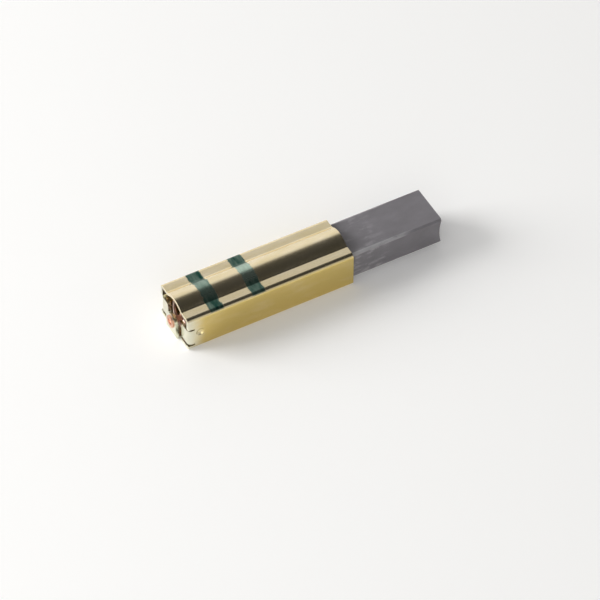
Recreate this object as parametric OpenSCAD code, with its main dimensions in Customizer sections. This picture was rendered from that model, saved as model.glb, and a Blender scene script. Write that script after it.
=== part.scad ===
// Carbon brush in a folded brass sleeve, as used in a vacuum cleaner motor.
// X runs along the brush to its running face, Y is across it and Z is up to the crown.
// The origin is under the middle of the whole brush, on the face that the sleeve lies on.

/* [Carbon block] */
// Width of the carbon, across the brush
carbon_w = 11; // [10:0.5:13]
// Thickness of the carbon, from bottom to top
carbon_t = 7.5; // [7:0.25:9]
// Length of the carbon, without its spigot
carbon_len = 32; // [30:0.5:36]
// Length of carbon that stands out of the sleeve
carbon_out = 23.5; // [20:0.5:25]
// Chamfer along the four long edges of the carbon
carbon_edge = 0.4; // [0.2:0.1:0.8]
// Radius of the commutator that the running face is ground to
running_r = 14; // [10:0.5:30]
// Length of the spigot that centres the spring
spigot_len = 1.6; // [1:0.1:2.5]
// Diameter of the hole that the shunt is tamped into
tamp_d = 3; // [2.6:0.1:3.4]
// Depth of that hole from the end of the spigot
tamp_depth = 8; // [6:0.5:10]

/* [Sleeve] */
// Length of the sleeve along its side walls
sleeve_len = 42; // [40:1:50]
// Thickness of the brass sheet
sheet_t = 0.8; // [0.6:0.05:0.9]
// Clearance between the carbon and each wall
slide_gap = 0.3; // [0.2:0.05:0.4]
// Inner radius of every fold in the sheet
fold_in_r = 0.2; // [0.15:0.05:0.4]
// Height of the crown above the shoulders
crown_rise = 1.3; // [0.9:0.1:1.6]
// Width of the crown where it meets the shoulders
crown_w = 6.8; // [5.6:0.2:7.6]
// Radius of the hollow between the crown and a shoulder
crown_foot_r = 0.8; // [0.4:0.1:0.9]
// Width of the butt seam along the floor
seam_gap = 0.12; // [0.08:0.02:0.2]
// Number of dovetail locks along the seam
lock_count = 3; // [1:1:4]
// Width of a lock at its neck
lock_neck = 2.4; // [2:0.2:3]
// How far a lock reaches across the seam
lock_reach = 1.6; // [1.2:0.2:2]

/* [Rear end] */
// Height of the lower edge of the two lugs
lug_low = 1.7; // [1.6:0.1:2.2]
// Height of the upper edge of the two lugs
lug_high = 6; // [5:0.25:7]
// Distance of each lug's tip from the middle plane
lug_tip = 3.2; // [2.9:0.1:3.4]
// Width of the tab that is turned up from the floor
tab_w = 4.6; // [4.2:0.2:5]
// Height of the shunt's hole in the tab
tab_hole_z = 4; // [3.5:0.1:4.6]
// Width of the relief notches beside the lugs and the tab
notch_w = 0.5; // [0.3:0.1:0.6]
// Depth of the relief notches
notch_depth = 1.6; // [1.4:0.1:2.2]
// Diameter of the dimple in each side wall
dimple_d = 2; // [1.4:0.1:2.4]
// Depth of the dimples
dimple_depth = 0.5; // [0.3:0.05:0.6]
// Distance of the dimples from the rear end
dimple_x = 3; // [2.8:0.1:6]

/* [Spring and shunt] */
// Diameter of the spring wire
wire_d = 0.8; // [0.6:0.05:0.9]
// Clearance between the spring and the floor
spring_gap = 0.2; // [0.15:0.05:0.3]
// Number of open turns between the two closed end turns
open_turns = 10; // [6:1:12]
// Diameter of the braided copper shunt
shunt_d = 1.5; // [1.2:0.1:1.7]
// Wall of the eyelet that holds the shunt in the tab
eyelet_wall = 0.3; // [0.2:0.05:0.4]
// Width of the eyelet's two rims beyond its barrel
eyelet_rim = 0.45; // [0.3:0.05:0.6]
// Thickness of the fibre washer between spring and carbon
washer_t = 0.8; // [0.5:0.1:1.2]
// Radius of the corners of the washer
washer_corner = 0.8; // [0.4:0.1:1.2]

/* [Hidden] */
$fn = 64;
overlap = 0.1;

// Clearances
washer_gap = 0.1;
spigot_gap = 0.15;
press_gap = 0.02;

// Thickness of the eyelet's rims
rim_t = 0.25;

// How far a foot's arc runs into the crown and the shoulder, so that their faces cross cleanly
foot_bite = 0.005;

// Section of the sleeve
fold_out_r = fold_in_r + sheet_t;
inner_h = carbon_t + 2 * slide_gap;
half_w = carbon_w / 2 + slide_gap + sheet_t;
shoulder_z = inner_h + 2 * sheet_t;
axis_z = shoulder_z / 2;
crown_r = (pow(crown_w / 2, 2) + pow(crown_rise, 2)) / (2 * crown_rise);
crown_z = shoulder_z + crown_rise - crown_r;
foot_z = shoulder_z + crown_foot_r - foot_bite;
foot_y = sqrt(pow(crown_r + crown_foot_r - foot_bite, 2) - pow(foot_z - crown_z, 2));

// Stations along the brush: the outer rim of the eyelet and the running face are its two ends
rear_x = -(sleeve_len + carbon_out - fold_out_r - rim_t) / 2;
mouth_x = rear_x + sleeve_len;
front_x = mouth_x + carbon_out;
tail_x = front_x - carbon_len;
spigot_x = tail_x - spigot_len;
tab_x = rear_x - fold_out_r;
seam_y = (tab_w / 2 + notch_w + half_w - fold_out_r) / 2;

// Spring, between the lugs and the washer
spring_d = inner_h - 2 * spring_gap;
coil_r = (spring_d - wire_d) / 2;
spigot_d = spring_d - 2 * wire_d - 2 * spigot_gap;
spring_x0 = rear_x + sheet_t;
spring_x1 = tail_x - washer_t;
closed_pitch = wire_d * 1.08;
open_pitch = (spring_x1 - spring_x0 - wire_d - 2 * closed_pitch) / open_turns;
spring_turns = open_turns + 2;
steps_per_turn = 20;
wire_sides = 8;
wire_start = 200;

// Shunt and eyelet
shunt_sides = 16;
shunt_steps = 24;
shunt_in = tamp_depth - 1;
shunt_x0 = tab_x - press_gap;
shunt_bend_x0 = rear_x + 2;
shunt_bend_x1 = spigot_x - 2;
bore_r = shunt_d / 2 + press_gap;
barrel_r = bore_r + eyelet_wall;

// Puts a flat shape's own x and y on Y and Z and extrudes it along X from x0
module along_x(x0, length) {
    translate([x0, 0, 0])
        rotate([90, 0, 90])
            linear_extrude(length)
                children();
}

// Cylinder that runs along X from x0
module rod_x(x0, length, r, z) {
    translate([x0, 0, z])
        rotate([0, 90, 0])
            cylinder(h = length, r = r);
}

// Stands on y = 0, centred on x = 0
module rounded_rect(size, r) {
    for (x = [-1, 1], y = [0, 1])
        translate([x * (size.x / 2 - r), r + y * (size.y - 2 * r)])
            circle(r);
    translate([-size.x / 2, r])
        square([size.x, size.y - 2 * r]);
    translate([-size.x / 2 + r, 0])
        square([size.x - 2 * r, size.y]);
}

// Quarter of a fold, round the point [0, 0], in the corner where x and y are negative
module fold_quarter() {
    intersection() {
        difference() {
            circle(fold_out_r);
            circle(fold_in_r);
        }
        translate([-fold_out_r, -fold_out_r])
            square(fold_out_r);
    }
}

// Section of the sleeve, set in from its outer skin: a box, the crown and the crown's hollow feet
module sleeve_section(inset) {
    top = shoulder_z - inset;
    low = top - overlap;
    wedge_y = foot_y * (low - crown_z) / (foot_z - crown_z);

    difference() {
        union() {
            translate([0, inset])
                rounded_rect([2 * (half_w - inset), top - inset], fold_out_r - inset);
            intersection() {
                translate([0, crown_z])
                    circle(crown_r - inset, $fn = 128);
                translate([-half_w, low])
                    square([2 * half_w, crown_rise + 2 * overlap]);
            }
            for (side = [-1, 1])
                polygon([[side * wedge_y, low], [side * foot_y, foot_z], [side * foot_y, low]]);
        }
        for (side = [-1, 1])
            translate([side * foot_y, foot_z])
                circle(crown_foot_r + inset);
    }
}

// One straight run of the seam, as a narrow bar between two points of the floor
module seam_run(a, b) {
    run = b - a;
    translate([a.x, a.y])
        rotate(atan2(run.y, run.x))
            translate([-seam_gap / 2, -seam_gap / 2])
                square([norm(run) + seam_gap, seam_gap]);
}

// Butt seam where the two edges of the folded sheet meet, with dovetail locks
module floor_seam() {
    lock_xs = [for (i = [0:lock_count - 1]) rear_x + sleeve_len * (i + 0.5) / lock_count];
    head = lock_neck * 1.4;
    lock_y = seam_y - lock_reach;
    route = [
        [rear_x - overlap, seam_y],
        for (x = lock_xs)
            each [
                [x - lock_neck / 2, seam_y], [x - head / 2, lock_y],
                [x + head / 2, lock_y], [x + lock_neck / 2, seam_y]
            ],
        [mouth_x + overlap, seam_y]
    ];
    translate([0, 0, -overlap])
        linear_extrude(sheet_t + 2 * overlap)
            for (i = [0:len(route) - 2])
                seam_run(route[i], route[i + 1]);
}

// Room cut in the +Y wall for its lug and the two relief notches
module lug_room() {
    translate([rear_x - overlap, half_w - 1.5 * sheet_t, lug_low - notch_w])
        cube([notch_depth + overlap, 2 * sheet_t, lug_high - lug_low + 2 * notch_w]);
}

// Lug on the +Y wall, turned in through a quarter so that the spring rests on it
module lug() {
    height = lug_high - lug_low;
    fold_y = half_w - fold_out_r;
    intersection() {
        translate([0, 0, lug_low])
            linear_extrude(height) {
                translate([rear_x + fold_out_r, half_w - sheet_t])
                    square([notch_depth - fold_out_r + overlap, sheet_t]);
                translate([rear_x + fold_out_r, fold_y])
                    mirror([0, 1])
                        fold_quarter();
                translate([rear_x, lug_tip])
                    square([sheet_t, fold_y - lug_tip]);
            }
        along_x(rear_x - overlap, notch_depth + 3 * overlap)
            translate([half_w, lug_low])
                rounded_rect([2 * (half_w - lug_tip), height], sheet_t);
    }
}

// Relief notches in the floor on both sides of the tab
module tab_notches() {
    for (side = [-1, 1])
        translate([rear_x - overlap, side * (tab_w + notch_w) / 2 - notch_w / 2, -overlap])
            cube([notch_depth + overlap, notch_w, sheet_t + 2 * overlap]);
}

// Tab on the floor, turned up through a quarter, with a round top and the eyelet's hole
module tab() {
    translate([0, tab_w / 2, 0])
        rotate([90, 0, 0])
            linear_extrude(tab_w)
                translate([rear_x, fold_out_r])
                    fold_quarter();
    along_x(tab_x, sheet_t)
        difference() {
            union() {
                translate([-tab_w / 2, fold_out_r])
                    square([tab_w, tab_hole_z - fold_out_r]);
                translate([0, tab_hole_z])
                    circle(tab_w / 2);
            }
            translate([0, tab_hole_z])
                circle(barrel_r + press_gap);
        }
}

// Ball that presses a dimple into the +Y wall; grow makes room for the sheet's thickness
module dimple_ball(grow) {
    ball_r = (pow(dimple_d / 2, 2) + pow(dimple_depth, 2)) / (2 * dimple_depth);
    translate([rear_x + dimple_x, half_w - dimple_depth + ball_r, axis_z])
        rotate([90, 0, 0])
            sphere(ball_r + grow);
}

module sleeve() {
    color("goldenrod") {
        difference() {
            along_x(rear_x, sleeve_len)
                difference() {
                    sleeve_section(0);
                    sleeve_section(sheet_t);
                }
            floor_seam();
            tab_notches();
            for (side = [0, 1])
                mirror([0, side, 0]) {
                    lug_room();
                    dimple_ball(0);
                }
        }
        tab();
        for (side = [0, 1])
            mirror([0, side, 0]) {
                lug();
                difference() {
                    intersection() {
                        dimple_ball(sheet_t);
                        translate([rear_x, half_w - 2 * sheet_t - dimple_depth, 0])
                            cube([2 * dimple_x, 1.5 * sheet_t + dimple_depth, shoulder_z]);
                    }
                    dimple_ball(0);
                }
            }
    }
}

// Short copper tube with a rim on each face of the tab
module eyelet() {
    color("peru")
        difference() {
            union() {
                rod_x(tab_x - rim_t, sheet_t + 2 * rim_t, barrel_r, tab_hole_z);
                rod_x(tab_x - rim_t, rim_t, barrel_r + eyelet_rim, tab_hole_z);
                rod_x(tab_x + sheet_t, rim_t, barrel_r + eyelet_rim, tab_hole_z);
            }
            rod_x(tab_x - rim_t - overlap, sheet_t + 2 * (rim_t + overlap), bore_r, tab_hole_z);
        }
}

// Joins rings of points, all with the same number of sides, into one closed skin
module skin(rings) {
    sides = len(rings[0]);
    last = len(rings) - 1;
    polyhedron(
        points = [for (ring = rings) each ring],
        faces = [
            [for (j = [0:sides - 1]) j],
            [for (j = [0:sides - 1]) last * sides + sides - 1 - j],
            for (i = [0:last - 1], j = [0:sides - 1])
                [
                    i * sides + j, (i + 1) * sides + j,
                    (i + 1) * sides + (j + 1) % sides, i * sides + (j + 1) % sides
                ]
        ]
    );
}

// How far the wire has run along X after so many turns
function wire_advance(turn) =
    closed_pitch * min(turn, 1)
    + open_pitch * max(0, min(turn - 1, open_turns))
    + closed_pitch * max(0, turn - 1 - open_turns);

function wire_ring(turn) =
    let (
        around = wire_start + 360 * turn,
        out = [0, cos(around), sin(around)],
        centre = [spring_x0 + wire_d / 2 + wire_advance(turn), 0, axis_z] + coil_r * out
    )
    [
        for (j = [0:wire_sides - 1])
            let (a = -360 * j / wire_sides)
                centre + wire_d / 2 * (cos(a) * out + [sin(a), 0, 0])
    ];

// Compression coil, one end turn on the lugs and the other on the washer
module spring() {
    color("sandybrown")
        skin([for (i = [0:spring_turns * steps_per_turn]) wire_ring(i / steps_per_turn)]);
}

// Height of the shunt's middle line: level at both ends, with one smooth step between them
function shunt_z(x) =
    let (u = max(0, min(1, (x - shunt_bend_x0) / (shunt_bend_x1 - shunt_bend_x0))))
        tab_hole_z + (axis_z - tab_hole_z) * (1 - cos(180 * u)) / 2;

// Braided lead from the eyelet, through the spring, into the carbon
module shunt() {
    xs = [
        shunt_x0,
        for (i = [0:shunt_steps]) shunt_bend_x0 + (shunt_bend_x1 - shunt_bend_x0) * i / shunt_steps,
        spigot_x + shunt_in
    ];
    color("sienna")
        skin([
            for (x = xs)
                [
                    for (j = [0:shunt_sides - 1])
                        let (a = 360 * j / shunt_sides)
                            [x, shunt_d / 2 * sin(a), shunt_z(x) - shunt_d / 2 * cos(a)]
                ]
        ]);
}

// Insulating seat that the spring pushes on
module fibre_washer() {
    washer_h = carbon_t - 2 * washer_gap;
    color("maroon")
        along_x(spring_x1, washer_t)
            difference() {
                translate([0, axis_z - washer_h / 2])
                    rounded_rect([carbon_w - 2 * washer_gap, washer_h], washer_corner);
                translate([0, axis_z])
                    circle(d = spigot_d + 2 * washer_gap);
            }
}

// Hole in the spigot's end, turned as one profile with the drill's point at its bottom
module tamp_hole(extra) {
    translate([spigot_x, 0, axis_z])
        rotate([0, 90, 0])
            rotate_extrude()
                polygon([
                    [0, -extra], [tamp_d / 2, -extra],
                    [tamp_d / 2, tamp_depth], [0, tamp_depth + tamp_d / 4]
                ]);
}

module carbon_block() {
    y = carbon_w / 2;
    z = carbon_t / 2;
    c = carbon_edge;
    color("dimgray")
        difference() {
            union() {
                along_x(tail_x, carbon_len)
                    translate([0, axis_z])
                        polygon([
                            [-y + c, -z], [y - c, -z], [y, -z + c], [y, z - c],
                            [y - c, z], [-y + c, z], [-y, z - c], [-y, -z + c]
                        ]);
                rod_x(spigot_x, spigot_len + overlap, spigot_d / 2, axis_z);
            }
            tamp_hole(overlap);
            translate([front_x + sqrt(pow(running_r, 2) - pow(z, 2)), 0, axis_z])
                rotate([90, 0, 0])
                    cylinder(h = carbon_w + 2 * overlap, r = running_r, center = true, $fn = 128);
        }
}

// Copper powder tamped round the end of the shunt
module tamped_plug() {
    color("chocolate")
        difference() {
            tamp_hole(0);
            rod_x(spigot_x - overlap, shunt_in + press_gap + overlap, bore_r, axis_z);
        }
}

sleeve();
eyelet();
spring();
shunt();
fibre_washer();
carbon_block();
tamped_plug();
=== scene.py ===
"""Looks of a carbon brush: folded brass sleeve, ground carbon, bronze spring and copper braid."""

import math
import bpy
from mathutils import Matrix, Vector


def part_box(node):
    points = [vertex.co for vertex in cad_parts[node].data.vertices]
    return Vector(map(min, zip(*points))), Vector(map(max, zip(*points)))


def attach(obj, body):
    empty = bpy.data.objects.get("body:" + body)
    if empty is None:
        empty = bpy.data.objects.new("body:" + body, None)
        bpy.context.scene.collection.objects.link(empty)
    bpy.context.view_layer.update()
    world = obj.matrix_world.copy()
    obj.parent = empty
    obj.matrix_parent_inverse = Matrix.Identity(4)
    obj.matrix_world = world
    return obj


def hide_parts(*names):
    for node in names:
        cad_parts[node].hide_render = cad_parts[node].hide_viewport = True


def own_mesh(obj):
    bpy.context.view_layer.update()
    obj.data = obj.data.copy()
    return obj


bl_info = {
    "name": "Carbon Brush",
    "version": (1, 0, 0),
    "blender": (4, 5, 0),
    "location": "View3D > Sidebar > Carbon Brush",
    "description": "Dresses a carbon brush in its folded brass sleeve",
    "category": "Object",
}

import bpy
from bpy.props import FloatProperty, FloatVectorProperty, IntProperty, PointerProperty
from mathutils import Vector

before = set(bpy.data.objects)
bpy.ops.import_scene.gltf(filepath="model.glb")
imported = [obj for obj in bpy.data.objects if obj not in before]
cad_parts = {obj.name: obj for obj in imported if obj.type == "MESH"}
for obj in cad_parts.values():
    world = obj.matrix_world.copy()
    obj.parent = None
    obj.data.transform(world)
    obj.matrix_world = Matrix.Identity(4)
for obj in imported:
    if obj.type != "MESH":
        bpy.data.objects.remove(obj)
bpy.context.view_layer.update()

# Sizes are in metres, but for those whose names say mm
MM = 0.001

# Places taken from the solids, and how far the carbon slides
SLEEVE_LOW, SLEEVE_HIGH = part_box("sleeve")
SPRING_LOW, SPRING_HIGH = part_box("spring")
SHUNT_LOW, SHUNT_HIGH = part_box("shunt")
EYELET_LOW, EYELET_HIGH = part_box("eyelet")
_, CARBON_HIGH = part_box("carbon_block")
AXIS_Z = (SPRING_LOW.z + SPRING_HIGH.z) / 2
EYELET_Z = (EYELET_LOW.z + EYELET_HIGH.z) / 2

# Size of the chamfer along the carbon's long edges
CARBON_CHAMFER = 0.4 * MM
# Pitch of the spring's closed turns in wire diameters: the turns all but touch
CLOSED_PITCH = 1.08

# How finely the round pieces are drawn
STEPS_PER_TURN = 40
WIRE_SIDES = 14
STRAND_STEPS = 480
STRAND_SIDES = 6
CORE_SIDES = 16
CORE_SEGMENTS = 40

# Stage: where the two lamps stand, and sizes that nobody needs to change
KEY_PLACE = (-0.76, 0.46, 0.36)
KEY_SIZE = 0.55
FILL_PLACE = (-0.5, -0.85, 0.4)
FILL_SIZE = 0.8
FLOOR_SIZE = 6
FLOOR_DROP = 0.01 * MM
CLIP_START = 0.01
CLIP_END = 20
SENSOR_MM = 36

# Dark patch of the sky: the direction of its middle, how dark it is, and how far round its middle it is
# at its darkest and has faded out
PATCH_MIDDLE = Vector((0.323, -0.137, 0.936)).normalized()
PATCH_DARKNESS = 0.94
PATCH_DARKEST = math.radians(35)
PATCH_FADED = math.radians(49)
# The sky's two brightnesses blend where the direction's share along Y lies between this and its negative
SKY_BLEND = 0.3

# Setting of a Map Range node that eases in and out, and the colour sockets of a Mix node
SMOOTH = {"interpolation_type": "SMOOTHSTEP"}
MIX_A, MIX_B, MIXED = 6, 7, 2


def linear(code):
    """sRGB hex code, such as "d9b36a", as linear colour with alpha."""
    parts = [int(code[i : i + 2], 16) / 255 for i in (0, 2, 4)]
    return [p / 12.92 if p <= 0.04045 else ((p + 0.055) / 1.055) ** 2.4 for p in parts] + [1.0]


def shade(base, share):
    """The colour, darkened to this share of it."""
    return [part * share for part in base[:3]] + [1.0]


def add(tree, kind, *values, inputs=None, **settings):
    """Adds a node with its settings. values go to its inputs in order, and inputs gives more of them by
    name or number. Each is a plain value, a socket to link from, or a node, which stands for its first
    output."""
    node = tree.nodes.new(kind)
    for name, setting in settings.items():
        setattr(node, name, setting)
    for key, value in {**dict(enumerate(values)), **(inputs or {})}.items():
        if isinstance(value, bpy.types.Node):
            value = value.outputs[0]
        if isinstance(value, bpy.types.NodeSocket):
            tree.links.new(value, node.inputs[key])
        else:
            node.inputs[key].default_value = value
    return node


# ---------------------------------------------------------------- materials


def new_material(name):
    """An empty material with its tree."""
    material = bpy.data.materials.new(name)
    material.use_nodes = True
    material.node_tree.nodes.clear()
    return material, material.node_tree


def finish_material(tree, finish):
    """Ends a material with its surface; finish holds the inputs that aren't left as they are."""
    surface = add(tree, "ShaderNodeBsdfPrincipled", inputs=finish)
    add(tree, "ShaderNodeOutputMaterial", surface)


def stretched_noise(tree, point, cell, detail=3.0, roughness=0.55):
    """Noise whose cells are cell[i] metres long along each axis."""
    spread = add(tree, "ShaderNodeMapping", point, inputs={"Scale": [1 / size for size in cell]})
    fineness = {"Scale": 1.0, "Detail": detail, "Roughness": roughness}
    return add(tree, "ShaderNodeTexNoise", spread, inputs=fineness)


def band(tree, value, low, high, soft):
    """1 between low and high, fading to 0 over a width of soft outside them."""
    start = add(tree, "ShaderNodeMapRange", value, low - soft, low, **SMOOTH)
    end = add(tree, "ShaderNodeMapRange", value, high, high + soft, 1.0, 0.0, **SMOOTH)
    return add(tree, "ShaderNodeMath", start, end, operation="MULTIPLY")


def brass_colour(tree, look, point, x, z):
    """Golden tarnish in patches a few millimetres long. The top is painted pale, with its tarnish taken off,
    as a painted highlight, and below the top the rear end is painted whitish as painted glare."""
    # Share of the tarnish that the painted top highlight takes off, and share of white in the painted rear
    # glare at most
    highlight_share, whitest = 0.8, 0.8
    patches = stretched_noise(tree, point, (7 * MM, 2.5 * MM, 2.5 * MM))
    # Painted highlight: above this height the top is painted pale and loses its tarnish
    low, high = look.highlight_floor - 0.5 * MM, look.highlight_floor + 0.3 * MM
    painted_top_highlight = add(tree, "ShaderNodeMapRange", z, low, high, **SMOOTH)

    # The patches make the end of the painted rear glare uneven
    uneven_x = add(tree, "ShaderNodeMath", patches, -5 * MM, x, operation="MULTIPLY_ADD")
    # Painted glare: below the top, the rear end is painted whitish
    low, high = SLEEVE_LOW.x - 2.5 * MM, SLEEVE_LOW.x + 3.5 * MM
    painted_rear_glare = add(tree, "ShaderNodeMapRange", uneven_x, low, high, 1.0, 0.0, **SMOOTH)

    highlight_and_wear = add(tree, "ShaderNodeMath", painted_top_highlight, painted_rear_glare, operation="MAXIMUM")
    # Away from the painted highlight and glare, the tarnish is whole in some patches and a little thinner in
    # others
    patchy = add(tree, "ShaderNodeMath", patches, 0.8, 0.6, operation="MULTIPLY_ADD")
    tarnish_and_highlight = add(
        tree, "ShaderNodeMath", highlight_and_wear, -highlight_share, patchy, operation="MULTIPLY_ADD", use_clamp=True
    )
    tints = {MIX_A: look.brass, MIX_B: look.brass_dull}
    metal = add(tree, "ShaderNodeMix", tarnish_and_highlight, data_type="RGBA", inputs=tints).outputs[MIXED]

    below_top = add(tree, "ShaderNodeMath", painted_top_highlight, -whitest, whitest, operation="MULTIPLY_ADD")
    painted_glare = add(tree, "ShaderNodeMath", painted_rear_glare, below_top, operation="MULTIPLY")
    tints = {MIX_A: metal, MIX_B: look.brass_glare}
    return add(tree, "ShaderNodeMix", painted_glare, data_type="RGBA", inputs=tints).outputs[MIXED]


def ink_stripes(tree, look, point, x, z):
    """Where the two stripes lie, and how thick their ink is."""
    # Each stripe's edges wander by a fraction of a millimetre, as a felt pen's do
    wander, soft = 1.0 * MM, 0.3 * MM
    ripple = stretched_noise(tree, point, (1.2 * MM,) * 3, detail=2.0)
    shift = add(tree, "ShaderNodeMath", ripple, wander, -wander / 2, operation="MULTIPLY_ADD")
    along = add(tree, "ShaderNodeMath", x, shift, operation="ADD")
    near, far = (
        band(tree, along, middle - look.stripe_width / 2, middle + look.stripe_width / 2, soft)
        for middle in (look.stripe_near, look.stripe_far)
    )
    either = add(tree, "ShaderNodeMath", near, far, operation="MAXIMUM")
    low, high = look.ink_floor - 0.2 * MM, look.ink_floor + 0.2 * MM
    on_top = add(tree, "ShaderNodeMapRange", z, low, high, **SMOOTH)
    inked = add(tree, "ShaderNodeMath", either, on_top, operation="MULTIPLY")

    # The pen was drawn across the sleeve, so the ink is streaked that way, and handling has rubbed it
    # thin over the crown, the second stripe more than the first
    strokes = stretched_noise(tree, point, (0.7 * MM, 3.5 * MM, 3.5 * MM))
    laid = add(tree, "ShaderNodeMath", strokes, 0.7, 0.5, operation="MULTIPLY_ADD")
    low, high = look.rub_floor - 0.4 * MM, look.rub_floor + 0.3 * MM
    over_crown = add(tree, "ShaderNodeMapRange", z, low, high, **SMOOTH)
    # Share of the ink that is gone from the first stripe's crown, and how much more from the second's
    gone, more_gone = 0.25, 0.4
    loss = add(tree, "ShaderNodeMath", far, more_gone, gone, operation="MULTIPLY_ADD")
    rubbed = add(tree, "ShaderNodeMath", over_crown, loss, operation="MULTIPLY")
    thickness = add(tree, "ShaderNodeMath", laid, rubbed, operation="SUBTRACT", use_clamp=True)
    return inked, thickness


def rolled_brass(look):
    """Cold-rolled brass sheet, folded and left bare: a mirror blurred along the strip by rolling grain,
    painted pale on top as a painted highlight, golden on the sides, with two stripes of thin green marking
    ink across its top."""
    material, tree = new_material("rolled_brass_sheet")
    point = add(tree, "ShaderNodeTexCoord").outputs["Object"]
    x, _, z = add(tree, "ShaderNodeSeparateXYZ", point).outputs
    # Rolling grain is 0.02 mm wide on real sheet; drawn 0.12 mm wide so that it shows
    grain = stretched_noise(tree, point, (9 * MM, 0.12 * MM, 0.12 * MM), detail=4.0)
    metal = brass_colour(tree, look, point, x, z)
    inked, thickness = ink_stripes(tree, look, point, x, z)

    # Thin ink lets the brass shine through, so it keeps most of the metal's mirror
    tints = {MIX_A: look.ink_thin, MIX_B: look.ink}
    film = add(tree, "ShaderNodeMix", thickness, data_type="RGBA", inputs=tints).outputs[MIXED]
    tints = {MIX_A: metal, MIX_B: film}
    tone = add(tree, "ShaderNodeMix", inked, data_type="RGBA", inputs=tints).outputs[MIXED]
    covered = add(tree, "ShaderNodeMath", inked, thickness, operation="MULTIPLY")
    metallic = add(tree, "ShaderNodeMath", covered, -0.12, 1.0, operation="MULTIPLY_ADD")
    # The grain spreads the roughness this far, evenly about its setting, and ink adds to it
    spread = 0.10
    smoothest = look.brass_roughness - spread / 2
    bare = add(tree, "ShaderNodeMath", grain, spread, smoothest, operation="MULTIPLY_ADD")
    rough = add(tree, "ShaderNodeMath", covered, 0.08, bare, operation="MULTIPLY_ADD")
    relief = {"Strength": 0.25, "Distance": 0.02 * MM, "Height": grain}
    bump = add(tree, "ShaderNodeBump", inputs=relief)
    finish = {"Base Color": tone, "Metallic": metallic, "Roughness": rough, "Normal": bump}
    finish_material(tree, finish)
    return material


def side_rubs(tree, point, x, aside):
    """Short pale streaks where the block has slid in and out of the mouth, most of all on its sides."""
    mouth = SLEEVE_HIGH.x
    rubbed = band(tree, x, mouth + 1 * MM, mouth + 7 * MM, 4 * MM)
    scratches = stretched_noise(tree, point, (3 * MM, 1.3 * MM, 1.3 * MM), detail=5.0, roughness=0.65)
    # Only the higher noise shows, so that the streaks stay apart
    streak = add(tree, "ShaderNodeMapRange", scratches, 0.45, 0.7, **SMOOTH)
    low, high = CARBON_HIGH.y - 0.3 * MM, CARBON_HIGH.y - 0.1 * MM
    strength = add(tree, "ShaderNodeMapRange", aside, low, high, 0.35, 0.8, **SMOOTH)
    streaks = add(tree, "ShaderNodeMath", streak, strength, operation="MULTIPLY")
    return add(tree, "ShaderNodeMath", rubbed, streaks, operation="MULTIPLY")


def edge_wear_and_highlight(tree, point, x, aside, z):
    """Long edges paled for a good half of the length that stands out: partly wear, partly a painted
    highlight along the chamfers.
    """
    from_axis = add(tree, "ShaderNodeMath", z, AXIS_Z, operation="SUBTRACT")
    level = add(tree, "ShaderNodeMath", from_axis, operation="ABSOLUTE")
    # The two distances from the axis add up to the same on the whole of the chamfer
    corner = add(tree, "ShaderNodeMath", aside, level, operation="ADD")
    chamfer = CARBON_HIGH.y + CARBON_HIGH.z - AXIS_Z - CARBON_CHAMFER
    low, high = chamfer - 0.35 * MM, chamfer - 0.05 * MM
    edge = add(tree, "ShaderNodeMapRange", corner, low, high, **SMOOTH)
    highlight_and_wear = band(tree, x, SLEEVE_HIGH.x, SLEEVE_HIGH.x + 12 * MM, 5 * MM)
    pale_edge = add(tree, "ShaderNodeMath", edge, highlight_and_wear, operation="MULTIPLY")
    # The wear and painted highlight are patchy and nowhere weaker than a third of their full strength
    chips = stretched_noise(tree, point, (2.5 * MM, 1 * MM, 1 * MM), detail=4.0)
    patchy = add(tree, "ShaderNodeMapRange", chips, 0.3, 0.6, 0.35, 1.0, **SMOOTH)
    return add(tree, "ShaderNodeMath", pale_edge, patchy, operation="MULTIPLY")


def ground_carbon(look):
    """Resin-bonded electrographite with ground faces: dark grey with a faint sheen, fine pits and grinding
    lines."""
    material, tree = new_material("ground_electrographite")
    point = add(tree, "ShaderNodeTexCoord").outputs["Object"]
    x, y, z = add(tree, "ShaderNodeSeparateXYZ", point).outputs
    aside = add(tree, "ShaderNodeMath", y, operation="ABSOLUTE")
    # The grains are about 0.05 mm across; drawn 0.25 mm so that they show
    grains = stretched_noise(tree, point, (0.25 * MM,) * 3, detail=5.0, roughness=0.7)
    cloud = stretched_noise(tree, point, (5 * MM, 3 * MM, 3 * MM))
    lines = stretched_noise(tree, point, (12 * MM, 0.2 * MM, 0.2 * MM))

    speckle = add(tree, "ShaderNodeMath", grains, 0.35, operation="MULTIPLY")
    # Each layer's share of the surface and its colour, from the body up
    layers = (
        (cloud, look.carbon_light),
        (speckle, look.carbon_light),
        (side_rubs(tree, point, x, aside), look.carbon_rub_and_highlight),
        # Long edges: partly wear, partly painted highlight
        (edge_wear_and_highlight(tree, point, x, aside, z), look.carbon_rub_and_highlight),
    )
    body = look.carbon
    for share, tint in layers:
        tints = {MIX_A: body, MIX_B: tint}
        body = add(tree, "ShaderNodeMix", share, data_type="RGBA", inputs=tints).outputs[MIXED]

    # The grains spread the roughness this far, upward from a little below its setting
    spread = 0.15
    smoothest = look.carbon_roughness - 0.07
    rough = add(tree, "ShaderNodeMath", grains, spread, smoothest, operation="MULTIPLY_ADD")
    grooves = add(tree, "ShaderNodeMath", lines, 0.5, operation="MULTIPLY")
    height = add(tree, "ShaderNodeMath", grains, 0.5, grooves, operation="MULTIPLY_ADD")
    relief = {"Strength": 0.35, "Distance": 0.03 * MM, "Height": height}
    bump = add(tree, "ShaderNodeBump", inputs=relief)
    finish = {"Base Color": body, "Specular IOR Level": 0.6, "Roughness": rough, "Normal": bump}
    finish_material(tree, finish)
    return material


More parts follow.
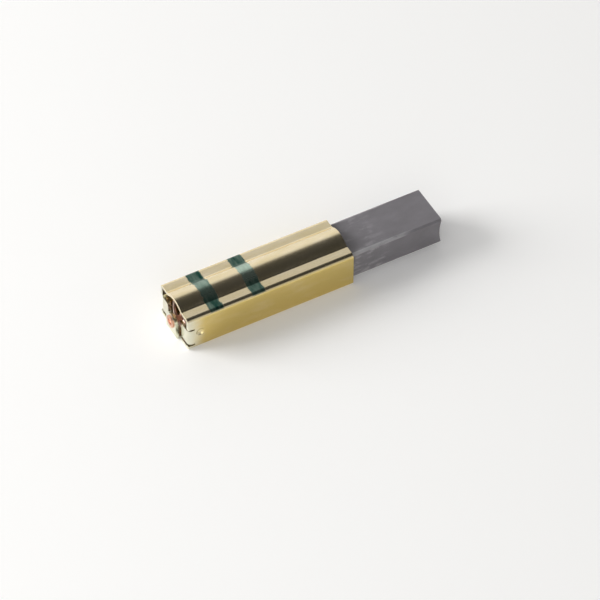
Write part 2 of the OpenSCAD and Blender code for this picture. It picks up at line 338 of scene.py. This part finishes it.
def bare_metal(name, metal, roughness, grain_mm):
    """Plain bare metal with a slight unevenness whose patches are grain_mm across."""
    material, tree = new_material(name)
    point = add(tree, "ShaderNodeTexCoord").outputs["Object"]
    grain = stretched_noise(tree, point, (grain_mm * MM,) * 3)
    tints = {MIX_A: metal, MIX_B: shade(metal, 0.72)}
    tone = add(tree, "ShaderNodeMix", grain, data_type="RGBA", inputs=tints).outputs[MIXED]
    spread = 0.12
    rough = add(
        tree, "ShaderNodeMath", grain, spread, roughness - spread / 2, operation="MULTIPLY_ADD"
    )
    finish = {"Base Color": tone, "Metallic": 1.0, "Roughness": rough}
    finish_material(tree, finish)
    return material


def drawn_bronze(look):
    """Drawn phosphor bronze wire: smooth, pink-gold, a little uneven in its shine."""
    return bare_metal("drawn_bronze_wire", look.bronze, roughness=0.32, grain_mm=0.5)


def braided_copper(look):
    """Bare copper in fine strands: softer in its shine than pressed copper."""
    return bare_metal("braided_copper", look.copper, roughness=0.38, grain_mm=0.3)


def pressed_copper(look):
    """Bare copper sheet, pressed smooth."""
    return bare_metal("pressed_copper", look.copper, roughness=0.3, grain_mm=0.6)


def dull_solid(name, body, roughness, grain_mm, metallic=0.0):
    """Dull solid whose grains show and are grain_mm long along X, Y and Z."""
    material, tree = new_material(name)
    point = add(tree, "ShaderNodeTexCoord").outputs["Object"]
    grain = stretched_noise(tree, point, [size * MM for size in grain_mm], detail=5.0, roughness=0.7)
    tints = {MIX_A: body, MIX_B: shade(body, 0.55)}
    tone = add(tree, "ShaderNodeMix", grain, data_type="RGBA", inputs=tints).outputs[MIXED]
    relief = {"Strength": 0.5, "Distance": 0.04 * MM, "Height": grain}
    bump = add(tree, "ShaderNodeBump", inputs=relief)
    finish = {"Base Color": tone, "Metallic": metallic, "Roughness": roughness, "Normal": bump}
    finish_material(tree, finish)
    return material


def tamped_powder(look):
    """Tamped copper powder: brown, matt and grainy."""
    grain_mm = (0.3, 0.3, 0.3)
    return dull_solid("tamped_copper_powder", look.powder, roughness=0.7, grain_mm=grain_mm, metallic=0.6)


def vulcanised_fibre(look):
    """Vulcanised fibre: hard dull red-brown sheet with a faint paper grain."""
    return dull_solid("vulcanised_fibre", look.fibre, roughness=0.6, grain_mm=(0.2, 1.0, 1.0))


def pale_paper(paper, lift):
    """Matt paper for the floor. lift is white that the eye and the metal see and that lights nothing."""
    material, tree = new_material("pale_paper")
    path = add(tree, "ShaderNodeLightPath").outputs
    glossy, clear = path["Is Glossy Ray"], path["Is Transmission Ray"]
    bounced = add(tree, "ShaderNodeMath", glossy, clear, operation="MAXIMUM")
    seen = add(tree, "ShaderNodeMath", path["Is Camera Ray"], bounced, operation="MAXIMUM")
    finish = {
        "Base Color": paper,
        "Roughness": 0.9,
        "Specular IOR Level": 0.1,
        "Emission Color": (1, 1, 1, 1),
        "Emission Strength": add(tree, "ShaderNodeMath", seen, lift, operation="MULTIPLY"),
    }
    finish_material(tree, finish)
    return material


def dress(node_name, material):
    """Gives a CAD node one material."""
    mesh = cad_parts[node_name].data
    mesh.materials.clear()
    mesh.materials.append(material)


# ---------------------------------------------------------------- geometry nodes


def new_shape_tree(name, numbers, counts):
    """A geometry tree whose inputs are these numbers, these whole numbers and a material."""
    tree = bpy.data.node_groups.new(name, "GeometryNodeTree")
    tree.interface.new_socket("Geometry", in_out="OUTPUT", socket_type="NodeSocketGeometry")
    for kind, labels in (("Float", numbers), ("Int", counts), ("Material", ["Material"])):
        for label in labels:
            tree.interface.new_socket(label, in_out="INPUT", socket_type="NodeSocket" + kind)
    return tree, add(tree, "NodeGroupInput").outputs


def finish_shape(tree, geometry, material):
    """Ends a tree with smooth shading, real geometry and its material."""
    smooth = add(tree, "GeometryNodeSetShadeSmooth", geometry)
    real = add(tree, "GeometryNodeRealizeInstances", smooth)
    painted = add(tree, "GeometryNodeSetMaterial", real, inputs={"Material": material})
    add(tree, "NodeGroupOutput", painted)


def build(name, tree, values):
    """Runs a geometry tree on an empty mesh and keeps its result as a plain mesh object."""
    seed = bpy.data.objects.new(name + "_seed", bpy.data.meshes.new(name + "_seed"))
    bpy.context.scene.collection.objects.link(seed)
    modifier = seed.modifiers.new("shape", "NODES")
    modifier.node_group = tree
    for item in tree.interface.items_tree:
        if item.in_out == "INPUT":
            modifier[item.identifier] = values[item.name]
    graph = bpy.context.evaluated_depsgraph_get()
    graph.update()
    mesh = bpy.data.meshes.new_from_object(seed.evaluated_get(graph))
    bpy.data.objects.remove(seed)
    if not mesh.vertices:
        raise RuntimeError(name + " came out empty")
    mesh.name = name
    piece = bpy.data.objects.new(name, mesh)
    bpy.context.scene.collection.objects.link(piece)
    return piece


def sweep(tree, line, place, radius, sides):
    """Moves the points of a line to place and sweeps a round section along it."""
    laid = add(tree, "GeometryNodeSetPosition", line, inputs={"Position": place})
    curve = add(tree, "GeometryNodeMeshToCurve", laid)
    ring = {"Resolution": sides, "Radius": radius}
    section = add(tree, "GeometryNodeCurvePrimitiveCircle", inputs=ring)
    parts = {"Curve": curve, "Profile Curve": section, "Fill Caps": True}
    return add(tree, "GeometryNodeCurveToMesh", inputs=parts)


def coil_advance(tree, out, turn):
    """How far the wire has run along X: one closed turn, the open turns and the other closed turn."""
    first = add(tree, "ShaderNodeMath", turn, 1.0, operation="MINIMUM")
    past_first = add(tree, "ShaderNodeMath", turn, 1.0, operation="SUBTRACT")
    opened = add(tree, "ShaderNodeMath", past_first, out["Open Turns"], operation="MINIMUM")
    inner = add(tree, "ShaderNodeMath", opened, 0.0, operation="MAXIMUM")
    past_open = add(tree, "ShaderNodeMath", past_first, out["Open Turns"], operation="SUBTRACT")
    last = add(tree, "ShaderNodeMath", past_open, 0.0, operation="MAXIMUM")
    ends = add(tree, "ShaderNodeMath", first, last, operation="ADD")
    closed = add(tree, "ShaderNodeMath", ends, out["Closed Pitch"], operation="MULTIPLY")
    return add(tree, "ShaderNodeMath", inner, out["Open Pitch"], closed, operation="MULTIPLY_ADD")


def coil_tree():
    """Round wire wound along X, with one closed turn at each end."""
    numbers = (
        "Start", "Closed Pitch", "Open Pitch", "Open Turns", "Coil Radius", "Wire Radius", "Height",
        "Start Angle",
    )
    tree, out = new_shape_tree("coil_spring", numbers, ["Steps"])
    line = add(tree, "GeometryNodeMeshLine", inputs={"Count": out["Steps"]})
    index = add(tree, "GeometryNodeInputIndex")
    last_step = add(tree, "ShaderNodeMath", out["Steps"], 1.0, operation="SUBTRACT")
    share = add(tree, "ShaderNodeMath", index, last_step, operation="DIVIDE")
    turns = add(tree, "ShaderNodeMath", out["Open Turns"], 2.0, operation="ADD")
    turn = add(tree, "ShaderNodeMath", share, turns, operation="MULTIPLY")

    first_x = add(tree, "ShaderNodeMath", out["Start"], out["Wire Radius"], operation="ADD")
    x = add(tree, "ShaderNodeMath", first_x, coil_advance(tree, out, turn), operation="ADD")
    angle = add(tree, "ShaderNodeMath", turn, math.tau, out["Start Angle"], operation="MULTIPLY_ADD")
    aside = add(tree, "ShaderNodeMath", angle, operation="COSINE")
    y = add(tree, "ShaderNodeMath", aside, out["Coil Radius"], operation="MULTIPLY")
    level = add(tree, "ShaderNodeMath", angle, operation="SINE")
    z = add(tree, "ShaderNodeMath", level, out["Coil Radius"], out["Height"], operation="MULTIPLY_ADD")
    place = add(tree, "ShaderNodeCombineXYZ", x, y, z)
    wire = sweep(tree, line, place, out["Wire Radius"], WIRE_SIDES)
    finish_shape(tree, wire, out["Material"])
    return tree


def braid_strand(tree, out, index, direction):
    """One strand of the braid about the X axis; direction is 1 or -1."""
    line = add(tree, "GeometryNodeMeshLine", inputs={"Count": out["Steps"]})
    last_step = add(tree, "ShaderNodeMath", out["Steps"], 1.0, operation="SUBTRACT")
    share = add(tree, "ShaderNodeMath", index, last_step, operation="DIVIDE")
    run = add(tree, "ShaderNodeMath", share, out["Length"], operation="MULTIPLY")
    lays = add(tree, "ShaderNodeMath", run, out["Lay"], operation="DIVIDE")
    turn = add(tree, "ShaderNodeMath", lays, math.tau * direction, operation="MULTIPLY")

    # In one round it moves out and in once for each strand of its set
    beat = add(tree, "ShaderNodeMath", turn, out["Strands"], operation="MULTIPLY")
    wave = add(tree, "ShaderNodeMath", beat, operation="COSINE")
    depth = add(tree, "ShaderNodeMath", out["Weave"], float(direction), operation="MULTIPLY")
    radius = add(tree, "ShaderNodeMath", wave, depth, out["Mean Radius"], operation="MULTIPLY_ADD")

    x = add(tree, "ShaderNodeMath", out["Start"], run, operation="ADD")
    aside = add(tree, "ShaderNodeMath", turn, operation="COSINE")
    y = add(tree, "ShaderNodeMath", aside, radius, operation="MULTIPLY")
    level = add(tree, "ShaderNodeMath", turn, operation="SINE")
    z = add(tree, "ShaderNodeMath", level, radius, operation="MULTIPLY")
    place = add(tree, "ShaderNodeCombineXYZ", x, y, z)
    return sweep(tree, line, place, out["Strand Radius"], STRAND_SIDES)


def braid_core(tree, out):
    """Plain bar along X that fills the middle of the braid."""
    bar = {
        "Vertices": CORE_SIDES,
        "Side Segments": CORE_SEGMENTS,
        "Radius": out["Mean Radius"],
        "Depth": out["Length"],
    }
    upright = add(tree, "GeometryNodeMeshCylinder", inputs=bar)
    middle = add(tree, "ShaderNodeMath", out["Length"], 0.5, out["Start"], operation="MULTIPLY_ADD")
    place = add(tree, "ShaderNodeCombineXYZ", middle)
    move = {"Translation": place, "Rotation": (0.0, math.pi / 2, 0.0)}
    return add(tree, "GeometryNodeTransform", upright, inputs=move)


def braid_lift(tree, out):
    """How high each point of the braid goes: smoothly from the eyelet's height to the carbon's axis."""
    x = add(tree, "ShaderNodeSeparateXYZ", add(tree, "GeometryNodeInputPosition"))
    angle = add(tree, "ShaderNodeMapRange", x, out["Bend Start"], out["Bend End"], 0.0, math.pi)
    swing = add(tree, "ShaderNodeMath", angle, operation="COSINE")
    double = add(tree, "ShaderNodeMath", 1.0, swing, operation="SUBTRACT")
    share = add(tree, "ShaderNodeMath", double, 0.5, operation="MULTIPLY")
    step = add(tree, "ShaderNodeMath", out["High"], out["Low"], operation="SUBTRACT")
    height = add(tree, "ShaderNodeMath", share, step, out["Low"], operation="MULTIPLY_ADD")
    return add(tree, "ShaderNodeCombineXYZ", 0.0, 0.0, height)


def braid_tree():
    """Round braid: equal sets of strands wound both ways, each passing over and under the other set."""
    numbers = (
        "Start", "Length", "Lay", "Mean Radius", "Weave", "Strand Radius", "Low", "High", "Bend Start",
        "Bend End",
    )
    tree, out = new_shape_tree("round_braid", numbers, ["Strands", "Steps"])
    index = add(tree, "GeometryNodeInputIndex")
    joined = add(tree, "GeometryNodeJoinGeometry")
    for direction in (1, -1):
        strand = braid_strand(tree, out, index, direction)
        line = {"Count": out["Strands"], "Offset": (0.0, 0.0, 0.0)}
        points = add(tree, "GeometryNodeMeshLine", inputs=line)
        share = add(tree, "ShaderNodeMath", index, out["Strands"], operation="DIVIDE")
        angle = add(tree, "ShaderNodeMath", share, math.tau, operation="MULTIPLY")
        turned = add(tree, "ShaderNodeCombineXYZ", angle)
        ring = {"Points": points, "Instance": strand, "Rotation": turned}
        copies = add(tree, "GeometryNodeInstanceOnPoints", inputs=ring)
        tree.links.new(copies.outputs[0], joined.inputs[0])
    tree.links.new(braid_core(tree, out).outputs[0], joined.inputs[0])
    real = add(tree, "GeometryNodeRealizeInstances", joined)
    bent = add(tree, "GeometryNodeSetPosition", real, inputs={"Offset": braid_lift(tree, out)})
    finish_shape(tree, bent, out["Material"])
    return tree


# ---------------------------------------------------------------- settings


def colour(name, description, code):
    """Colour setting whose default is an sRGB hex code."""
    return FloatVectorProperty(
        name=name, description=description, subtype="COLOR", size=4, min=0, max=1, default=linear(code)
    )


def number(name, description, default, **more):
    """Number setting; more holds its unit or subtype and its limits."""
    return FloatProperty(name=name, description=description, default=default, **more)


class BrushLook(bpy.types.PropertyGroup):
    """Colours and finishes."""

    # Brass is also the colour of the painted highlight on the sleeve's top
    brass: colour("Brass", "Brass where it is rubbed bright", "f8e9c8")
    brass_dull: colour("Dull brass", "Brass with its thin golden tarnish", "dcc479")
    # Colour of the painted glare at the sleeve's rear end
    brass_glare: colour("Scuffed brass", "Whitish brass at the scuffed rear end", "d8dccf")
    brass_roughness: number("Brass roughness", "Roughness of the brass", 0.24, min=0.05, max=1)
    # Above this height the brass is painted pale as a painted highlight
    highlight_floor: number(
        "Worn floor", "Height above which the brass is rubbed bright", 9.3 * MM, unit="LENGTH"
    )
    ink: colour("Ink", "Marking ink where it is thick", "18493e")
    ink_thin: colour("Thin ink", "Marking ink where the brass shines through", "c2d6c4")
    ink_floor: number("Ink floor", "Lowest point that the ink reaches", 9.3 * MM, unit="LENGTH")
    rub_floor: number("Rub floor", "Height above which the ink is rubbed thin", 10.4 * MM, unit="LENGTH")
    stripe_near: number("First stripe", "Middle of the first stripe", -24.6 * MM, unit="LENGTH")
    stripe_far: number("Second stripe", "Middle of the second stripe", -14.1 * MM, unit="LENGTH")
    stripe_width: number("Stripe width", "Width of each stripe", 3 * MM, unit="LENGTH")
    carbon: colour("Carbon", "Ground carbon", "625e61")
    carbon_light: colour("Light carbon", "The carbon's lighter grains", "807d81")
    # Rubbed carbon is also the colour of the painted highlight along the long edges
    carbon_rub_and_highlight: colour("Rubbed carbon", "Rub marks on the carbon", "a5a3a5")
    carbon_roughness: number("Carbon roughness", "Roughness of the carbon", 0.5, min=0.05, max=1)
    bronze: colour("Bronze", "Spring wire", "fbe0d4")
    copper: colour("Copper", "Shunt and eyelet", "e6ae92")
    powder: colour("Copper powder", "Tamped powder round the shunt", "8a5238")
    fibre: colour("Fibre", "Washer", "5e2b22")


class BrushSpring(bpy.types.PropertyGroup):
    """Spring sizes that the solids don't tell."""

    wire: number("Wire", "Diameter of the spring wire", 0.8 * MM, unit="LENGTH")
    open_turns: IntProperty(
        name="Open turns", description="Turns between the two closed end turns", default=10, min=1
    )
    start_angle: number(
        "Start", "Where the wire starts round the spring", math.radians(200), subtype="ANGLE"
    )


class BrushShunt(bpy.types.PropertyGroup):
    """Make of the braided lead."""

    strands: IntProperty(name="Strands", description="Strands wound each way", default=8, min=3)
    strand: number("Strand", "Diameter of one strand", 0.32 * MM, unit="LENGTH")
    weave: number("Weave", "How far a strand moves in and out", 0.12 * MM, unit="LENGTH")
    lay: number("Lay", "Length in which a strand goes round once", 4.2 * MM, unit="LENGTH")
    level_start: number("Level start", "How far into the sleeve it stays low", 3 * MM, unit="LENGTH")
    level_end: number("Level end", "Straight length before the carbon", 2 * MM, unit="LENGTH")
    grip: number("Grip", "Length of the lead inside the carbon", 7 * MM, unit="LENGTH")


class BrushStage(bpy.types.PropertyGroup):
    """Camera, light and floor."""

    azimuth: number("Azimuth", "Camera's turn round the brush", math.radians(-28.6), subtype="ANGLE")
    elevation: number("Elevation", "Camera's height angle", math.radians(47.6), subtype="ANGLE")
    distance: number("Distance", "Camera's distance", 0.9, unit="LENGTH")
    field: number("Field", "Width of the view at the brush", 0.136, unit="LENGTH")
    aim_right: number("Aim right", "Camera's aim beside the origin", -0.25 * MM, unit="LENGTH")
    aim_up: number("Aim up", "Camera's aim above the origin", -4.26 * MM, unit="LENGTH")
    floor: colour("Floor", "Pale floor", "f4f3f1")
    floor_lift: number("Floor lift", "White added to the floor as the eye and the metal see it", 0.13, min=0)
    key: number("Key light", "Power of the soft key light", 9.8, unit="POWER")
    fill: number("Fill light", "Power of the wide lamp in front", 2.2, unit="POWER")
    sky_front: number("Sky in front", "Brightness of the surroundings in front of the brush", 0.58, min=0)
    sky_behind: number("Sky behind", "Brightness of the surroundings behind the brush", 0.88, min=0)


# ---------------------------------------------------------------- operators


class BRUSH_OT_sleeve(bpy.types.Operator):
    """Gives the sleeve its rolled brass and the two ink stripes"""

    bl_idname = "brush.sleeve"
    bl_label = "Sleeve"

    def execute(self, context):
        dress("sleeve", rolled_brass(context.scene.brush_look))
        return {"FINISHED"}


class BRUSH_OT_carbon(bpy.types.Operator):
    """Gives the carbon block, its tamped plug and the washer their materials"""

    bl_idname = "brush.carbon"
    bl_label = "Carbon, plug and washer"

    def execute(self, context):
        look = context.scene.brush_look
        dress("carbon_block", ground_carbon(look))
        dress("tamped_plug", tamped_powder(look))
        dress("fibre_washer", vulcanised_fibre(look))
        return {"FINISHED"}


class BRUSH_OT_spring(bpy.types.Operator):
    """Winds the spring from round wire"""

    bl_idname = "brush.spring"
    bl_label = "Spring"

    def execute(self, context):
        sizes = context.scene.brush_spring
        wire = sizes.wire
        closed = wire * CLOSED_PITCH
        length = SPRING_HIGH.x - SPRING_LOW.x
        spring = build(
            "spring_wire",
            coil_tree(),
            {
                "Start": SPRING_LOW.x,
                "Closed Pitch": closed,
                "Open Pitch": (length - wire - 2 * closed) / sizes.open_turns,
                "Open Turns": float(sizes.open_turns),
                "Coil Radius": (SPRING_HIGH.z - SPRING_LOW.z - wire) / 2,
                "Wire Radius": wire / 2,
                "Height": AXIS_Z,
                "Start Angle": sizes.start_angle,
                "Steps": STEPS_PER_TURN * (sizes.open_turns + 2),
                "Material": drawn_bronze(context.scene.brush_look),
            },
        )
        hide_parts("spring")
        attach(spring, "holder")
        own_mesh(spring)
        return {"FINISHED"}


class BRUSH_OT_shunt(bpy.types.Operator):
    """Braids the shunt and gives the eyelet its copper"""

    bl_idname = "brush.shunt"
    bl_label = "Shunt and eyelet"

    def execute(self, context):
        sizes = context.scene.brush_shunt
        look = context.scene.brush_look
        dress("eyelet", pressed_copper(look))
        radius = (SHUNT_HIGH.y - SHUNT_LOW.y) / 2
        entry = SHUNT_HIGH.x - sizes.grip
        shunt = build(
            "shunt_braid",
            braid_tree(),
            {
                "Start": SHUNT_LOW.x,
                "Length": SHUNT_HIGH.x - SHUNT_LOW.x,
                "Lay": sizes.lay,
                "Mean Radius": radius - sizes.weave - sizes.strand / 2,
                "Weave": sizes.weave,
                "Strand Radius": sizes.strand / 2,
                "Strands": sizes.strands,
                "Steps": STRAND_STEPS,
                "Low": EYELET_Z,
                "High": AXIS_Z,
                "Bend Start": SLEEVE_LOW.x + sizes.level_start,
                "Bend End": entry - sizes.level_end,
                "Material": braided_copper(look),
            },
        )
        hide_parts("shunt")
        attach(shunt, "holder")
        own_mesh(shunt)
        return {"FINISHED"}


class BRUSH_OT_stage(bpy.types.Operator):
    """Makes the floor, the light and the camera"""

    bl_idname = "brush.stage"
    bl_label = "Stage"

    def execute(self, context):
        sizes = context.scene.brush_stage
        scene = context.scene
        self.make_floor(sizes)
        self.make_sky(scene, sizes)
        # The key throws the soft shadow towards the running face; the fill opens the shaded side
        self.make_lamp(scene, "key", KEY_PLACE, KEY_SIZE, sizes.key)
        self.make_lamp(scene, "fill", FILL_PLACE, FILL_SIZE, sizes.fill)
        self.make_camera(scene, sizes)
        scene.view_settings.view_transform = "Standard"
        return {"FINISHED"}

    def make_floor(self, sizes):
        """Wide pale floor, a hair below the sleeve."""
        bpy.ops.mesh.primitive_plane_add(size=FLOOR_SIZE, location=(0, 0, -FLOOR_DROP))
        floor = bpy.context.object
        floor.name = "floor"
        floor.data.materials.append(pale_paper(sizes.floor, sizes.floor_lift))

    def make_sky(self, scene, sizes):
        """Pale surroundings, brighter behind. The crown shows their one dark patch as a dark band."""
        world = bpy.data.worlds.new("studio")
        scene.world = world
        world.use_nodes = True
        tree = world.node_tree
        tree.nodes.clear()
        direction = add(tree, "ShaderNodeTexCoord").outputs["Generated"]
        product = add(tree, "ShaderNodeVectorMath", direction, PATCH_MIDDLE, operation="DOT_PRODUCT")
        facing = product.outputs["Value"]
        low, high = math.cos(PATCH_FADED), math.cos(PATCH_DARKEST)
        patch = add(tree, "ShaderNodeMapRange", facing, low, high, **SMOOTH)
        kept = add(tree, "ShaderNodeMath", patch, -PATCH_DARKNESS, 1.0, operation="MULTIPLY_ADD")
        depth = add(tree, "ShaderNodeSeparateXYZ", direction).outputs["Y"]
        front, behind = sizes.sky_front, sizes.sky_behind
        grey = add(tree, "ShaderNodeMapRange", depth, -SKY_BLEND, SKY_BLEND, front, behind, **SMOOTH)
        level = add(tree, "ShaderNodeMath", grey, kept, operation="MULTIPLY")
        back = add(tree, "ShaderNodeBackground", (1, 1, 1, 1), level)
        add(tree, "ShaderNodeOutputWorld", back)

    def make_lamp(self, scene, name, place, size, power):
        """Square soft lamp that points at the brush."""
        lamp = bpy.data.lights.new(name, "AREA")
        lamp.shape = "SQUARE"
        lamp.size = size
        lamp.energy = power
        holder = bpy.data.objects.new(name, lamp)
        holder.location = place
        holder.rotation_euler = (-holder.location).to_track_quat("-Z", "Y").to_euler()
        scene.collection.objects.link(holder)

    def make_camera(self, scene, sizes):
        """Camera at its two angles from the brush, with a lens that takes in the field."""
        lens = bpy.data.cameras.new("camera")
        camera = bpy.data.objects.new("camera", lens)
        turn, height = sizes.azimuth, sizes.elevation
        level = math.cos(height)
        back = Vector((math.sin(turn) * level, -math.cos(turn) * level, math.sin(height)))
        right = Vector((math.cos(turn), math.sin(turn), 0))
        up = back.cross(right)
        aim = right * sizes.aim_right + up * sizes.aim_up
        camera.location = aim + back * sizes.distance
        camera.rotation_euler = back.to_track_quat("Z", "Y").to_euler()
        lens.sensor_width = SENSOR_MM
        lens.lens = SENSOR_MM * sizes.distance / sizes.field
        lens.clip_start = CLIP_START
        lens.clip_end = CLIP_END
        scene.collection.objects.link(camera)
        scene.camera = camera


class BRUSH_PT_panel(bpy.types.Panel):
    """Lists the pieces and their settings"""

    bl_idname = "BRUSH_PT_panel"
    bl_label = "Carbon Brush"
    bl_space_type = "VIEW_3D"
    bl_region_type = "UI"
    bl_category = "Carbon Brush"

    def draw(self, context):
        for operator in OPERATORS:
            self.layout.operator(operator.bl_idname)
        for group in GROUPS:
            settings = getattr(context.scene, group)
            box = self.layout.box()
            for name in settings.__annotations__:
                box.prop(settings, name)


OPERATORS = (BRUSH_OT_sleeve, BRUSH_OT_carbon, BRUSH_OT_spring, BRUSH_OT_shunt, BRUSH_OT_stage)
GROUPS = {
    "brush_look": BrushLook,
    "brush_spring": BrushSpring,
    "brush_shunt": BrushShunt,
    "brush_stage": BrushStage,
}


def register():
    """Registers the classes and gives the scene their settings."""
    for item in (*GROUPS.values(), *OPERATORS, BRUSH_PT_panel):
        bpy.utils.register_class(item)
    for name, group in GROUPS.items():
        setattr(bpy.types.Scene, name, PointerProperty(type=group))


def unregister():
    """Takes the settings and the classes away again."""
    for name in GROUPS:
        delattr(bpy.types.Scene, name)
    for item in (BRUSH_PT_panel, *reversed(OPERATORS), *reversed(GROUPS.values())):
        bpy.utils.unregister_class(item)


def main():
    """Builds every piece and the stage."""
    register()
    bpy.ops.brush.sleeve()
    bpy.ops.brush.carbon()
    bpy.ops.brush.spring()
    bpy.ops.brush.shunt()
    bpy.ops.brush.stage()


if __name__ == "__main__":
    main()
